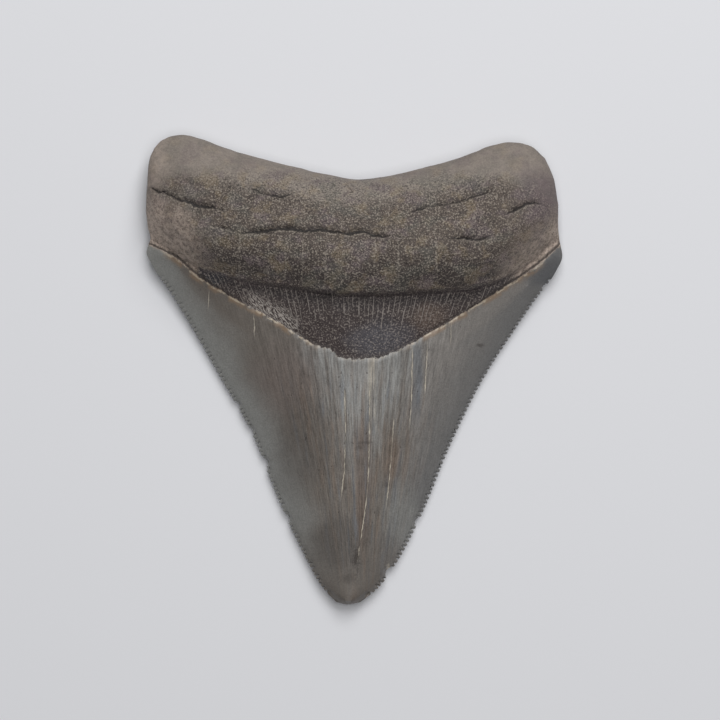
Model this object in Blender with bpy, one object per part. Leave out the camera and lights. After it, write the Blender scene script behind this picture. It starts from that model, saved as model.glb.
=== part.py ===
"""Fossil megalodon tooth: one solid that lies on its labial (outer) face, lingual face up.

Metres, +Z up. The tip points along -Y and the root lies towards +Y. The origin is under the middle
of the tooth, on the surface that it rests on.

The tooth is a loft of two sheets, lingual and labial, which share their border. Each sheet is laid
out in bands between the lines that such a tooth has: tip, enamel edge, ledge and basal margin.
"""

import math

import bmesh
import bpy
import numpy as np
from mathutils import Matrix, Vector
from mathutils.bvhtree import BVHTree

MM = 0.001

# Outline from above: the x, y of the points that each edge runs through, going right or up
TIP_LINE = MM * np.array([(-3.2, -41.6), (-1.1, -42.0), (1.1, -41.6)])
LEFT_CUTTING_EDGE = MM * np.array(
    [(-3.2, -41.6), (-5.5, -39.2), (-9.1, -32.9), (-14.1, -22.1), (-17.9, -12.4), (-24.5, -0.5)]
    + [(-28.6, 6.7), (-32.4, 13.0), (-36.4, 19.2), (-37.2, 21.1), (-36.9, 22.4)]
)
RIGHT_CUTTING_EDGE = MM * np.array(
    [(1.1, -41.6), (4.3, -39.1), (7.6, -34.6), (12.0, -26.2), (17.4, -13.2), (23.8, -0.5)]
    + [(28.4, 6.6), (32.4, 12.5), (36.2, 17.8), (37.3, 20.4), (37.0, 22.3)]
)
LEFT_ROOT_SIDE = MM * np.array(
    [(-36.9, 22.4), (-36.5, 23.5), (-36.9, 25.5), (-37.2, 28.5), (-37.0, 33.0), (-36.7, 37.0)]
    + [(-35.9, 39.8)]
)
RIGHT_ROOT_SIDE = MM * np.array(
    [(37.0, 22.3), (36.7, 23.4), (36.5, 26.4), (36.3, 31.0), (35.5, 34.8), (34.0, 37.9)]
)
BASAL_MARGIN = MM * np.array(
    [(-35.9, 39.8), (-34.0, 41.3), (-30.6, 42.1), (-27.5, 41.3), (-21.5, 39.2), (-10.0, 36.2)]
    + [(-4.5, 34.9), (0.7, 34.1), (4.5, 34.5), (12.0, 36.1), (17.0, 37.4), (21.5, 39.0)]
    + [(25.0, 40.2), (28.3, 40.7), (31.6, 40.0), (34.0, 37.9)]
)

# Lines across the faces, without their ends, which lie on the root's sides
ENAMEL_LINE = MM * np.array(
    [(-34.8, 21.5), (-32.2, 20.1), (-28.0, 16.8), (-22.2, 13.2), (-14.0, 8.8), (-7.2, 4.6)]
    + [(-2.6, 2.6), (1.4, 2.0), (6.0, 2.8), (10.2, 4.8), (17.7, 9.1), (26.3, 14.4), (33.5, 19.2)]
)
LEDGE_LINE = MM * np.array(
    [(-33.6, 22.2), (-30.2, 20.0), (-26.8, 18.1), (-21.5, 16.5), (-14.0, 15.3), (-7.1, 14.2)]
    + [(0.0, 13.6), (8.0, 13.7), (15.0, 14.2), (21.8, 14.9), (26.4, 16.4), (30.4, 18.8)]
    + [(34.0, 21.8)]
)
LABIAL_ENAMEL_LINE = MM * np.array(
    [(-27.0, 20.4), (-14.0, 17.6), (0.0, 16.6), (14.0, 17.5), (27.0, 20.2)]
)

# Where the lines across the root meet its sides, as shares of a side from the enamel up
ENAMEL_FOOT_SHARE = 0.03
LEDGE_SHARE = 0.07
CREST_SHARE = 0.20
ROOT_SHARES = (0.0, ENAMEL_FOOT_SHARE, LEDGE_SHARE, CREST_SHARE, 1.0)
ENAMEL_FOOT_WIDTH = 0.4 * MM
LEDGE_RUN = 1.1 * MM  # from the foot of the ledge to its crest, seen from above

# Heights over the surface that the tooth lies on, at stations y along it: (y, height)
EDGE_HEIGHT = MM * np.array(
    [(-42.1, 2.5), (-30, 1.9), (-10, 1.7), (8, 2.0), (20, 3.4), (30, 5.6), (42.1, 6.4)]
)
LABIAL_HEIGHT = MM * np.array(
    [(-42.1, 1.4), (-36, 0.5), (-28, -0.3), (-16, -0.5), (-4, -0.3), (8, 0.3), (17, 0.6), (42.1, 0.6)]
)
# How far the crown's middle rises over its cutting edges
CROWN_RISE = MM * np.array(
    [(-42.1, 1.5), (-36, 2.8), (-24, 5.1), (-8, 7.4), (6, 8.7), (20, 9.2), (42.1, 9.2)]
)
CROWN_ROUNDNESS = 1.8  # 1 would be a roof, 2 a parabola
LABIAL_ROUNDNESS = 2.6
TIP_ROUNDING = 1.6 * MM
ENAMEL_THICKNESS = 0.35 * MM
NECK_DIP = 0.6 * MM
NECK_DIP_WIDTH = 4.0 * MM

ROOT_HEIGHT = 17.0 * MM
ROOT_CREST_Y = 21.0 * MM
LOBE_X = 31.0 * MM
LOBE_DROP = 3.6 * MM
ROOT_BACK = 17.0 * MM
ROOT_BACK_DROP = 2.4 * MM
ROOT_SIDE_ROUNDING = 8.0 * MM
BASAL_ROUNDING = 13.0 * MM
LABIAL_ROUNDING = 5.5 * MM
# The ledge is a low cliff in the root's middle, and the root climbs on from it over a long slope
LEDGE_HEIGHT = 2.8 * MM
LEDGE_ENDS = (-29.5 * MM, 28.0 * MM)
LEDGE_FADE = 8.0 * MM
ROOT_SLOPE = 8.5 * MM
# Low swells of the root's surface: height, and the x and y lengths of one swell
ROOT_SWELLS = MM * np.array([(0.28, 23.0, 31.0), (0.16, -11.0, 13.0), (0.10, 6.5, -9.0)])
LOBE_REST_HEIGHT = -0.3 * MM
LOBE_HOLLOW = 1.4 * MM
LOBE_HOLLOW_HALF_WIDTH = 13.0 * MM

# Mesh steps: across the lingual face, and up each band from tip to basal margin. All are even,
# because the labial sheet takes every second one
STEPS_ACROSS = 48
BAND_STEPS = (18, 2, 4, 2, 20)
SIDE_CROWDING = 0.6
CROWN_CROWDING = 0.85

# Serrations and damage
SERRATION_PITCH = 0.85 * MM
SERRATION_DEPTH = 0.36 * MM
SERRATION_HEIGHT = 3.0 * MM
SERRATED_LEFT = (2.6 * MM, 66.5 * MM)  # from and to, along the edge from the tip
SERRATED_RIGHT = (2.6 * MM, 67.5 * MM)
LEFT_WEAR = 0.45  # how unevenly the serrations are worn, as a share of their depth
RIGHT_WEAR = 0.15
SEED = 7
# Nicks in the cutting edges: side, distance along the edge from the tip, radius
NICKS = (
    ("left", 17.6 * MM, 0.9 * MM),
    ("left", 28.3 * MM, 1.1 * MM),
    ("left", 34.6 * MM, 0.8 * MM),
    ("left", 39.8 * MM, 0.9 * MM),
    ("right", 7.6 * MM, 1.3 * MM),
    ("right", 18.0 * MM, 0.9 * MM),
    ("right", 66.0 * MM, 0.7 * MM),
)
CRACK_DEPTH = 0.55 * MM
CRACK_STEP = 1.2 * MM
CRACKS = (
    MM * np.array(
        [(-36.0, 32.7), (-34.3, 31.9), (-30.7, 30.1), (-28.8, 30.0), (-26.6, 28.9), (-23.4, 28.5)]
    ),
    MM * np.array([(-17.3, 32.0), (-13.6, 30.8), (-11.5, 31.3), (-9.8, 31.0)]),
    MM * np.array(
        [(-22.4, 25.4), (-20.1, 24.9), (-18.2, 24.0), (-14.1, 24.0), (-11.7, 24.9), (-7.1, 25.1)]
        + [(-4.4, 24.7), (-1.7, 24.1), (1.0, 24.7), (2.6, 24.4), (3.8, 23.9), (6.2, 24.7)]
    ),
    MM * np.array([(15.6, 24.2), (18.7, 23.5), (21.8, 23.2), (24.0, 23.5), (26.2, 24.7)]),
    MM * np.array([(16.0, 29.5), (18.3, 30.0), (20.1, 30.8), (21.7, 31.1), (24.2, 31.7)]),
    MM * np.array([(26.0, 27.7), (27.7, 27.8), (28.8, 28.9), (30.2, 29.4), (33.2, 29.8)]),
)

TOOTH_COLOUR = (0.115, 0.098, 0.086, 1.0)
TOOTH_ROUGHNESS = 0.45


def smooth(at, knots, values):
    """Values of the smooth curve through (knots, values) at the given places: cubic pieces."""
    slopes = np.gradient(values, knots, axis=0)
    piece = np.clip(np.searchsorted(knots, at, side="right") - 1, 0, len(knots) - 2)
    shape = at.shape + (1,) * (values.ndim - 1)
    width = (knots[piece + 1] - knots[piece]).reshape(shape)
    t = np.clip((at - knots[piece]).reshape(shape) / width, 0.0, 1.0)
    return (
        (1 + 2 * t) * (1 - t) ** 2 * values[piece]
        + t * (1 - t) ** 2 * width * slopes[piece]
        + t**2 * (3 - 2 * t) * values[piece + 1]
        + t**2 * (t - 1) * width * slopes[piece + 1]
    )


def path_knots(points):
    """The distance of each point along the path that runs straight from one to the next."""
    return np.concatenate([[0.0], np.cumsum(np.linalg.norm(np.diff(points, axis=0), axis=1))])


def along(points, shares):
    """Points of the smooth path through the given ones, at shares 0 to 1 of its length."""
    knots = path_knots(points)
    return smooth(shares * knots[-1], knots, points)


def at_station(stations, y):
    return smooth(y, stations[:, 0], stations[:, 1])


def ease(t):
    """0 below 0, 1 above 1, and a smooth rise between."""
    t = np.clip(t, 0.0, 1.0)
    return t * t * (3 - 2 * t)


def rounding(share):
    """A quarter circle's height, 0 to 1, at a share of its radius in from the edge."""
    return np.sqrt(1 - (1 - np.clip(share, 0.0, 1.0)) ** 2)


def crowded(count, crowding):
    """count + 1 shares from 0 to 1, crowded towards both ends, where the surface turns fastest."""
    even = np.linspace(0.0, 1.0, count + 1)
    return (1 - crowding) * even + crowding * (0.5 - 0.5 * np.cos(math.pi * even))


def crossing_line(inner, share, offset=0.0):
    """A line over the root from side to side, through inner points, with its ends on the sides."""
    ends = np.array([share])
    left = along(LEFT_ROOT_SIDE, ends)
    right = along(RIGHT_ROOT_SIDE, ends)
    return np.vstack([left, inner + np.array([0.0, offset]), right])


def patch(bottom, top, left, right, across, up):
    """Plan points between four border lines (a Coons patch): rows run left to right."""
    u = across[None, :, None]
    v = up[:, None, None]
    rows = (1 - v) * bottom[None] + v * top[None]
    columns = (1 - u) * left[:, None] + u * right[:, None]
    corners = (1 - v) * ((1 - u) * bottom[0] + u * bottom[-1]) + v * ((1 - u) * top[0] + u * top[-1])
    return rows + columns - corners


def lay_out(lines, across):
    """Plan of one sheet, from its lines: x, y, and how far up the crown and up the root each row is."""
    up = crowded(BAND_STEPS[0], CROWN_CROWDING)
    left, right = along(LEFT_CUTTING_EDGE, up), along(RIGHT_CUTTING_EDGE, up)
    plan = [patch(along(lines[0], across), along(lines[1], across), left, right, across, up)]
    crown_share = [up]
    root_share = [np.zeros_like(up)]
    for band, steps in enumerate(BAND_STEPS[1:]):
        up = np.linspace(0.0, 1.0, steps + 1)[1:]
        if ROOT_SHARES[band + 1] == 1.0:
            up = np.sin(0.5 * math.pi * up)  # crowds the rows where the root rounds over
        side = ROOT_SHARES[band] + (ROOT_SHARES[band + 1] - ROOT_SHARES[band]) * up
        left, right = along(LEFT_ROOT_SIDE, side), along(RIGHT_ROOT_SIDE, side)
        bottom, top = along(lines[band + 1], across), along(lines[band + 2], across)
        plan.append(patch(bottom, top, left, right, across, up))
        crown_share.append(np.ones_like(up))
        root_share.append(side)
    plan = np.concatenate(plan)
    crown_share = np.concatenate(crown_share)[:, None]
    root_share = np.concatenate(root_share)[:, None]
    return plan[:, :, 0], plan[:, :, 1], crown_share, root_share


def side_x(y):
    """x of the left and of the right side of the outline, at each y."""
    shares = np.linspace(0.0, 1.0, 200)
    left = np.vstack([along(LEFT_CUTTING_EDGE, shares), along(LEFT_ROOT_SIDE, shares)])
    right = np.vstack([along(RIGHT_CUTTING_EDGE, shares), along(RIGHT_ROOT_SIDE, shares)])
    return np.interp(y, left[:, 1], left[:, 0]), np.interp(y, right[:, 1], right[:, 0])


def place_across(x, y):
    """0 in the middle of the tooth to 1 on its side, at the same y."""
    left, right = side_x(y)
    return np.clip(np.abs(2 * x - left - right) / (right - left), 0.0, 1.0)


def line_y(line, x):
    points = along(line, np.linspace(0.0, 1.0, 200))
    return np.interp(x, points[:, 0], points[:, 1])


def root_rims(across, root_share, back_rounding, side_rounding):
    """How full the root is, 0 on its border to 1 inside, with rounded sides and basal margin."""
    root_length = 1 - root_share
    back = root_length * (BASAL_MARGIN[:, 1].mean() - LEDGE_LINE[:, 1].mean())
    width = BASAL_MARGIN[-1, 0] - BASAL_MARGIN[0, 0]
    side = np.minimum(across, 1 - across)[None, :] * width
    return rounding(back / back_rounding) * rounding(side / side_rounding)


def tip_rim(crown_share):
    length = path_knots(LEFT_CUTTING_EDGE)[-1]
    return rounding(crown_share * length / TIP_ROUNDING)


def lingual_heights(x, y, crown_share, root_share, across, ledge_foot):
    edge = at_station(EDGE_HEIGHT, y)
    dome = 1 - place_across(x, y) ** CROWN_ROUNDNESS
    crown = edge + at_station(CROWN_RISE, y) * dome * tip_rim(crown_share)

    off_enamel = ease(root_share / ENAMEL_FOOT_SHARE)
    past_ledge = y - line_y(ledge_foot, x)
    inside = ease((x - LEDGE_ENDS[0]) / LEDGE_FADE) * ease((LEDGE_ENDS[1] - x) / LEDGE_FADE)
    dip = NECK_DIP * inside * ease(1 + past_ledge / NECK_DIP_WIDTH) * off_enamel
    neck = crown - ENAMEL_THICKNESS * off_enamel * ease(4 * dome) - dip

    top = (
        ROOT_HEIGHT
        - LOBE_DROP * (x / LOBE_X) ** 2
        - ROOT_BACK_DROP * ((y - ROOT_CREST_Y) / ROOT_BACK) ** 2
    )
    for height, length_x, length_y in ROOT_SWELLS:
        top = top + height * np.sin(2 * math.pi * (x / length_x + y / length_y))
    root = edge + (top - edge) * root_rims(across, root_share, BASAL_ROUNDING, ROOT_SIDE_ROUNDING)
    cliff = LEDGE_HEIGHT * inside * ease(past_ledge / LEDGE_RUN)
    climb = np.sin(0.5 * math.pi * np.clip(past_ledge / ROOT_SLOPE, 0.0, 1.0))
    return neck + cliff + (root - neck - cliff) * climb


def labial_heights(x, y, crown_share, root_share, across):
    edge = at_station(EDGE_HEIGHT, y)
    flat = 1 - place_across(x, y) ** LABIAL_ROUNDNESS
    crown = edge - (edge - at_station(LABIAL_HEIGHT, y)) * flat * tip_rim(crown_share)
    hollow = LOBE_HOLLOW * np.exp(-((x / LOBE_HOLLOW_HALF_WIDTH) ** 2))
    rims = root_rims(across, root_share, LABIAL_ROUNDING, LABIAL_ROUNDING)
    root = edge - (edge - LOBE_REST_HEIGHT - hollow) * rims
    neck = crown + ENAMEL_THICKNESS * ease(root_share / ENAMEL_FOOT_SHARE)
    return np.maximum(neck + (root - neck) * ease(root_share / CREST_SHARE), 0.0)


def lingual_sheet(across):
    enamel = crossing_line(ENAMEL_LINE, 0.0)
    enamel_foot = crossing_line(ENAMEL_LINE, ENAMEL_FOOT_SHARE, ENAMEL_FOOT_WIDTH)
    ledge_foot = crossing_line(LEDGE_LINE, LEDGE_SHARE, -0.5 * LEDGE_RUN)
    ledge_crest = crossing_line(LEDGE_LINE, CREST_SHARE, 0.5 * LEDGE_RUN)
    lines = (TIP_LINE, enamel, enamel_foot, ledge_foot, ledge_crest, BASAL_MARGIN)
    x, y, crown_share, root_share = lay_out(lines, across)
    z = lingual_heights(x, y, crown_share, root_share, across, ledge_foot)
    return np.stack([x, y, z], axis=2)


def labial_sheet(across):
    root_length = BASAL_MARGIN[:, 1].mean() - LABIAL_ENAMEL_LINE[:, 1].mean()
    lines = [TIP_LINE]
    lines += [crossing_line(LABIAL_ENAMEL_LINE, s, s * root_length) for s in ROOT_SHARES[:-1]]
    lines += [BASAL_MARGIN]
    x, y, crown_share, root_share = lay_out(lines, across)
    z = labial_heights(x, y, crown_share, root_share, across)
    return np.stack([x, y, z], axis=2)


def build_tooth(name):
    """The closed loft: the lingual sheet, and the labial one at half its steps, on one border."""
    across = crowded(STEPS_ACROSS, SIDE_CROWDING)
    lingual = lingual_sheet(across)
    labial = labial_sheet(across)
    rows, columns = lingual.shape[:2]

    bm = bmesh.new()
    upper = [[bm.verts.new(point) for point in row] for row in lingual]
    for i in range(rows - 1):
        for j in range(columns - 1):
            bm.faces.new((upper[i][j], upper[i][j + 1], upper[i + 1][j + 1], upper[i + 1][j]))

    lower = {}
    for i in range(0, rows, 2):
        for j in range(0, columns, 2):
            on_border = i in (0, rows - 1) or j in (0, columns - 1)
            lower[i, j] = upper[i][j] if on_border else bm.verts.new(labial[i, j])
    for i in range(0, rows - 1, 2):
        for j in range(0, columns - 1, 2):
            # Going round, a face on the border takes the lingual point between its two corners too
            ring = [lower[i, j]]
            ring += [upper[i + 1][0]] if j == 0 else []
            ring += [lower[i + 2, j]]
            ring += [upper[rows - 1][j + 1]] if i + 2 == rows - 1 else []
            ring += [lower[i + 2, j + 2]]
            ring += [upper[i + 1][columns - 1]] if j + 2 == columns - 1 else []
            ring += [lower[i, j + 2]]
            ring += [upper[0][j + 1]] if i == 0 else []
            bm.faces.new(ring)

    flat = [face for face in bm.faces if all(vert.co.z == 0.0 for vert in face.verts)]
    bmesh.ops.dissolve_faces(bm, faces=flat, use_verts=True)
    mesh = bpy.data.meshes.new(name)
    bm.to_mesh(mesh)
    bm.free()
    return mesh


def new_collection(name):
    collection = bpy.data.collections.new(name)
    bpy.context.scene.collection.children.link(collection)
    return collection


def add_cutter(name, mesh, collection):
    cutter = bpy.data.objects.new(name, mesh)
    cutter.hide_render = True
    cutter.display_type = "WIRE"
    collection.objects.link(cutter)
    return cutter


def edge_frame(edge, distance, outward):
    """The place on a cutting edge at a distance from the tip, with +Y of the frame pointing in."""
    length = path_knots(edge)[-1]
    shares = np.array([distance, distance + 0.1 * MM]) / length
    here, ahead = along(edge, shares)
    run = Vector((*(ahead - here), 0.0)).normalized()
    inward = Vector((-run.y, run.x, 0.0)) * outward
    height = at_station(EDGE_HEIGHT, here[1:])[0]
    frame = Matrix((run, inward, run.cross(inward))).transposed().to_4x4()
    frame.translation = Vector((*here, height))
    return frame


def serration_cutters(collection):
    """One small upright wedge for each notch between two serrations, on both cutting edges."""
    chance = np.random.default_rng(SEED)
    bm = bmesh.new()
    sides = (
        (LEFT_CUTTING_EDGE, SERRATED_LEFT, LEFT_WEAR, -1),
        (RIGHT_CUTTING_EDGE, SERRATED_RIGHT, RIGHT_WEAR, 1),
    )
    for edge, (start, end), wear, outward in sides:
        for distance in np.arange(start, end, SERRATION_PITCH):
            depth = SERRATION_DEPTH * (1 + wear * chance.uniform(-1, 1))
            width = 0.46 * SERRATION_PITCH
            scale = Matrix.Diagonal((width / (depth * math.cos(math.pi / 6)), 1, 1, 1))
            bmesh.ops.create_cone(
                bm,
                cap_ends=True,
                segments=3,
                radius1=depth,
                radius2=depth,
                depth=SERRATION_HEIGHT,
                matrix=edge_frame(edge, distance, outward) @ scale,
            )
    mesh = bpy.data.meshes.new("serration_notches")
    bm.to_mesh(mesh)
    bm.free()
    return add_cutter("serration_notches", mesh, collection)


def nick_cutters(collection):
    bm = bmesh.new()
    for side, distance, radius in NICKS:
        edge, outward = (LEFT_CUTTING_EDGE, -1) if side == "left" else (RIGHT_CUTTING_EDGE, 1)
        out_of_edge = Matrix.Translation((0.0, -0.35 * radius, 0.4 * radius))
        bmesh.ops.create_icosphere(
            bm, subdivisions=1, radius=radius, matrix=edge_frame(edge, distance, outward) @ out_of_edge
        )
    mesh = bpy.data.meshes.new("edge_nicks")
    bm.to_mesh(mesh)
    bm.free()
    return add_cutter("edge_nicks", mesh, collection)


def crack_cutter(number, points, surface, collection):
    """A four-sided bar that follows a crack over the root, thickest in its middle."""
    count = max(4, round(path_knots(points)[-1] / CRACK_STEP))
    shares = np.linspace(0.0, 1.0, count)
    curve = bpy.data.curves.new(f"crack_{number}", "CURVE")
    curve.dimensions = "3D"
    curve.bevel_depth = CRACK_DEPTH
    curve.bevel_resolution = 0
    curve.use_fill_caps = True
    spline = curve.splines.new("POLY")
    spline.points.add(count - 1)
    for point, (x, y), share in zip(spline.points, along(points, shares), shares):
        hit = surface.ray_cast(Vector((x, y, 1.0)), Vector((0.0, 0.0, -1.0)))[0]
        point.co = (x, y, hit.z, 1.0)
        point.radius = 0.3 + 0.7 * math.sin(math.pi * share)
    tube = bpy.data.objects.new(f"crack_{number}_path", curve)
    collection.objects.link(tube)
    mesh = bpy.data.meshes.new_from_object(tube.evaluated_get(bpy.context.evaluated_depsgraph_get()))
    bm = bmesh.new()
    bm.from_mesh(mesh)
    bmesh.ops.remove_doubles(bm, verts=bm.verts, dist=0.01 * MM)
    bm.to_mesh(mesh)
    bm.free()
    cutter = add_cutter(f"crack_{number}", mesh, collection)
    cutter.matrix_world = tube.matrix_world
    bpy.data.objects.remove(tube)
    return cutter


def fossil_material():
    material = bpy.data.materials.new("fossil_enameloid_and_root")
    material.use_nodes = True
    shader = material.node_tree.nodes["Principled BSDF"]
    shader.inputs["Base Color"].default_value = TOOTH_COLOUR
    shader.inputs["Roughness"].default_value = TOOTH_ROUGHNESS
    shader.inputs["Metallic"].default_value = 0.0
    return material


def main():
    for old in list(bpy.data.objects):
        bpy.data.objects.remove(old)
    model = new_collection("megalodon_tooth")
    cutters = new_collection("cutters")

    tooth = bpy.data.objects.new("tooth", build_tooth("tooth"))
    tooth.data.materials.append(fossil_material())
    model.objects.link(tooth)

    surface = BVHTree.FromPolygons(
        [v.co for v in tooth.data.vertices], [tuple(p.vertices) for p in tooth.data.polygons]
    )
    cuts = [serration_cutters(cutters), nick_cutters(cutters)]
    cuts += [crack_cutter(i + 1, points, surface, cutters) for i, points in enumerate(CRACKS)]
    for cutter in cuts:
        boolean = tooth.modifiers.new(cutter.name, "BOOLEAN")
        boolean.operation = "DIFFERENCE"
        boolean.solver = "EXACT"
        boolean.object = cutter


main()
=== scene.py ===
import math

import bpy
import numpy as np
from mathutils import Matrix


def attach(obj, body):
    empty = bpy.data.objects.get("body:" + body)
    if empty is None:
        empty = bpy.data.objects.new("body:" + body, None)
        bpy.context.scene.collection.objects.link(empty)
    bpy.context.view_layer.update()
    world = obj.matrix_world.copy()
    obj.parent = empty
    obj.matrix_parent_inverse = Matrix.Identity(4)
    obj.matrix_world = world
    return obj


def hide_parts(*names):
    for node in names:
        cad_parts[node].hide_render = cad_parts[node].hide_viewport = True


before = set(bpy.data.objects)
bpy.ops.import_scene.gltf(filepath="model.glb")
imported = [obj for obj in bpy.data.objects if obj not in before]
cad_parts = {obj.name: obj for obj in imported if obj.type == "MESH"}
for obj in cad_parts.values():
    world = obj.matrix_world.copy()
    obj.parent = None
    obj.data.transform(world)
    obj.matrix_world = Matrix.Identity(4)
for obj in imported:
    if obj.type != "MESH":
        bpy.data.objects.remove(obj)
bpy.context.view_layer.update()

# ------------------------------------------------------------
# Outline of the tooth, seen from above as it lies on its labial (outer) face. The tooth is one
# fossil piece: a hard enameloid crown that grew onto a bony root. The tip points along -Y, and
# each path runs through points on the real edge, going up or to the right.
MM = 0.001


def mm(*places):
    """Places or sizes that are given in millimetres."""
    return MM * np.array(places)


TIP_LINE = mm((-3.2, -41.6), (-1.1, -42.0), (1.1, -41.6))
LEFT_CUTTING_EDGE = mm(
    (-3.2, -41.6), (-5.5, -39.2), (-9.1, -32.9), (-14.1, -22.1), (-17.9, -12.4), (-24.5, -0.5),
    (-28.6, 6.7), (-32.4, 13.0), (-36.4, 19.2), (-37.2, 21.1), (-36.9, 22.4)
)
RIGHT_CUTTING_EDGE = mm(
    (1.1, -41.6), (4.3, -39.1), (7.6, -34.6), (12.0, -26.2), (17.4, -13.2), (23.8, -0.5),
    (28.4, 6.6), (32.4, 12.5), (36.2, 17.8), (37.3, 20.4), (37.0, 22.3)
)
LEFT_ROOT_SIDE = mm(
    (-36.9, 22.4), (-36.5, 23.5), (-36.9, 25.5), (-37.2, 28.5), (-37.0, 33.0), (-36.8, 36.0),
    (-36.5, 38.0), (-35.7, 39.6)
)
RIGHT_ROOT_SIDE = mm(
    (37.0, 22.3), (36.7, 23.4), (36.5, 26.4), (36.3, 31.0), (35.5, 34.8), (34.0, 37.9)
)
BASAL_MARGIN = mm(
    (-35.7, 39.6), (-34.7, 40.8), (-33.1, 41.7), (-30.6, 42.1), (-27.5, 41.3), (-21.5, 39.2),
    (-10.0, 36.2), (-4.5, 34.9), (0.7, 34.1), (4.5, 34.5), (12.0, 36.1), (17.0, 37.4),
    (21.5, 39.0), (25.0, 40.2), (28.3, 40.7), (31.6, 40.0), (34.0, 37.9)
)
PATH_SHARES = np.linspace(0.0, 1.0, 1500)  # of a path's length, where it is read


def smooth(at, knots, values):
    """Values of the smooth curve through (knots, values): one cubic between each two knots, with
    the slope at a knot taken from its neighbours."""
    slopes = np.gradient(values, knots, axis=0)
    piece = np.clip(np.searchsorted(knots, at, side="right") - 1, 0, len(knots) - 2)
    shape = at.shape + (1,) * (values.ndim - 1)
    width = (knots[piece + 1] - knots[piece]).reshape(shape)
    t = np.clip((at - knots[piece]).reshape(shape) / width, 0.0, 1.0)
    return (
        (1 + 2 * t) * (1 - t) ** 2 * values[piece]
        + t * (1 - t) ** 2 * width * slopes[piece]
        + t**2 * (3 - 2 * t) * values[piece + 1]
        + t**2 * (t - 1) * width * slopes[piece + 1]
    )


def path_knots(points):
    """The distance of each point along the path that runs straight from one to the next."""
    return np.concatenate([[0.0], np.cumsum(np.linalg.norm(np.diff(points, axis=0), axis=1))])


def along(points, shares):
    """Points of the smooth path through the given ones, at shares 0 to 1 of its length."""
    knots = path_knots(points)
    return smooth(shares * knots[-1], knots, points)


def side_x(y):
    """x of the left and of the right side of the outline, at each y."""
    left = np.vstack([along(path, PATH_SHARES) for path in (LEFT_CUTTING_EDGE, LEFT_ROOT_SIDE)])
    right = np.vstack([along(path, PATH_SHARES) for path in (RIGHT_CUTTING_EDGE, RIGHT_ROOT_SIDE)])
    return np.interp(y, left[:, 1], left[:, 0]), np.interp(y, right[:, 1], right[:, 0])


def place_across(x, y):
    """0 in the middle of the tooth to 1 on its side, at the same y."""
    left, right = side_x(y)
    return np.clip(np.abs(2 * x - left - right) / (right - left), 0.0, 1.0)


# ------------------------------------------------------------
# Crown: a wedge of glossy enameloid with two cutting edges. Its lingual face, which is up, is
# domed, and its labial face is almost flat, so that the crown's middle rests on the table.
# Heights are over the table, at stations y along the tooth.
EDGE_HEIGHT = mm(
    (-42.1, 2.5), (-30, 1.9), (-10, 1.7), (8, 2.0), (20, 3.4), (30, 5.6), (42.1, 6.4)
)
LABIAL_HEIGHT = mm(
    (-42.1, 1.4), (-36, 0.5), (-28, -0.3), (-16, -0.5), (-4, -0.3), (8, 0.3), (17, 0.6),
    (42.1, 0.6)
)
CROWN_RISE = mm(
    (-42.1, 1.5), (-36, 2.8), (-24, 5.1), (-8, 7.4), (6, 8.7), (20, 9.2), (42.1, 9.2)
)
CROWN_ROUNDNESS = 1.8  # powers of the place across
LABIAL_ROUNDNESS = 2.6  # a higher one is flatter in the middle and steeper at the edge
TIP_ROUNDING = 1.6 * MM


def at_station(stations, y):
    """The height at y of the smooth curve through the stations."""
    return smooth(y, stations[:, 0], stations[:, 1])


def rounding(share):
    """A quarter circle's height, 0 to 1, at a share of its radius in from the edge."""
    return np.sqrt(1 - (1 - np.clip(share, 0.0, 1.0)) ** 2)


def tip_rim(crown_share):
    """A quarter circle's height, 0 at the very tip to 1 where its rounding ends."""
    return rounding(crown_share * path_knots(LEFT_CUTTING_EDGE)[-1] / TIP_ROUNDING)


def lingual_crown(x, y, crown_share):
    """The edge's height plus the rise there times a dome, 1 less a power of the place across."""
    dome = 1 - place_across(x, y) ** CROWN_ROUNDNESS
    lift = at_station(CROWN_RISE, y) * dome * tip_rim(crown_share)
    return at_station(EDGE_HEIGHT, y) + lift, dome


def labial_crown(x, y, crown_share):
    """The edge's height less the fall to the flat face, by 1 less a power of the place across."""
    edge = at_station(EDGE_HEIGHT, y)
    flat = 1 - place_across(x, y) ** LABIAL_ROUNDNESS
    return edge - (edge - at_station(LABIAL_HEIGHT, y)) * flat * tip_rim(crown_share)


# ------------------------------------------------------------
# Root: thick porous bone with two lobes. It meets the crown at the enamel's edge, a chevron.
# Above that lies the neck, a shallow band without enamel, and then a low ledge, from which the
# root climbs to its crest and rounds over to the basal margin.
ENAMEL_LINE = mm(
    (-34.8, 21.5), (-32.2, 20.1), (-28.0, 16.8), (-22.2, 13.2), (-14.0, 8.8), (-7.2, 4.6),
    (-2.6, 2.6), (1.4, 2.0), (6.0, 2.8), (10.2, 4.8), (17.7, 9.1), (26.3, 14.4), (33.5, 19.2)
)
LEDGE_LINE = mm(
    (-33.6, 22.2), (-30.2, 20.0), (-26.8, 18.1), (-21.5, 16.5), (-14.0, 15.3), (-7.1, 14.2),
    (0.0, 13.6), (8.0, 13.7), (15.0, 14.2), (21.8, 14.9), (26.4, 16.4), (30.4, 18.8), (34.0, 21.8)
)
LABIAL_ENAMEL_LINE = mm(
    (-27.0, 20.4), (-14.0, 17.6), (0.0, 16.6), (14.0, 17.5), (27.0, 20.2)
)
ENAMEL_THICKNESS = 0.35 * MM
ENAMEL_FOOT_SHARE = 0.03  # shares of a root side, from the enamel up
ENAMEL_FOOT_WIDTH = 0.4 * MM
STEP_FADE = 0.25  # of the dome, near the sides, over which the enamel's step runs out
LEDGE_SHARE = 0.07
CREST_SHARE = 0.20
LEDGE_RUN = 1.1 * MM
LEDGE_HEIGHT = 2.8 * MM
LEDGE_ENDS = (-29.5 * MM, 28.0 * MM)
LEDGE_FADE = 8.0 * MM
NECK_DIP = 0.6 * MM
NECK_DIP_WIDTH = 4.0 * MM
ROOT_HEIGHT = 17.0 * MM
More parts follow.
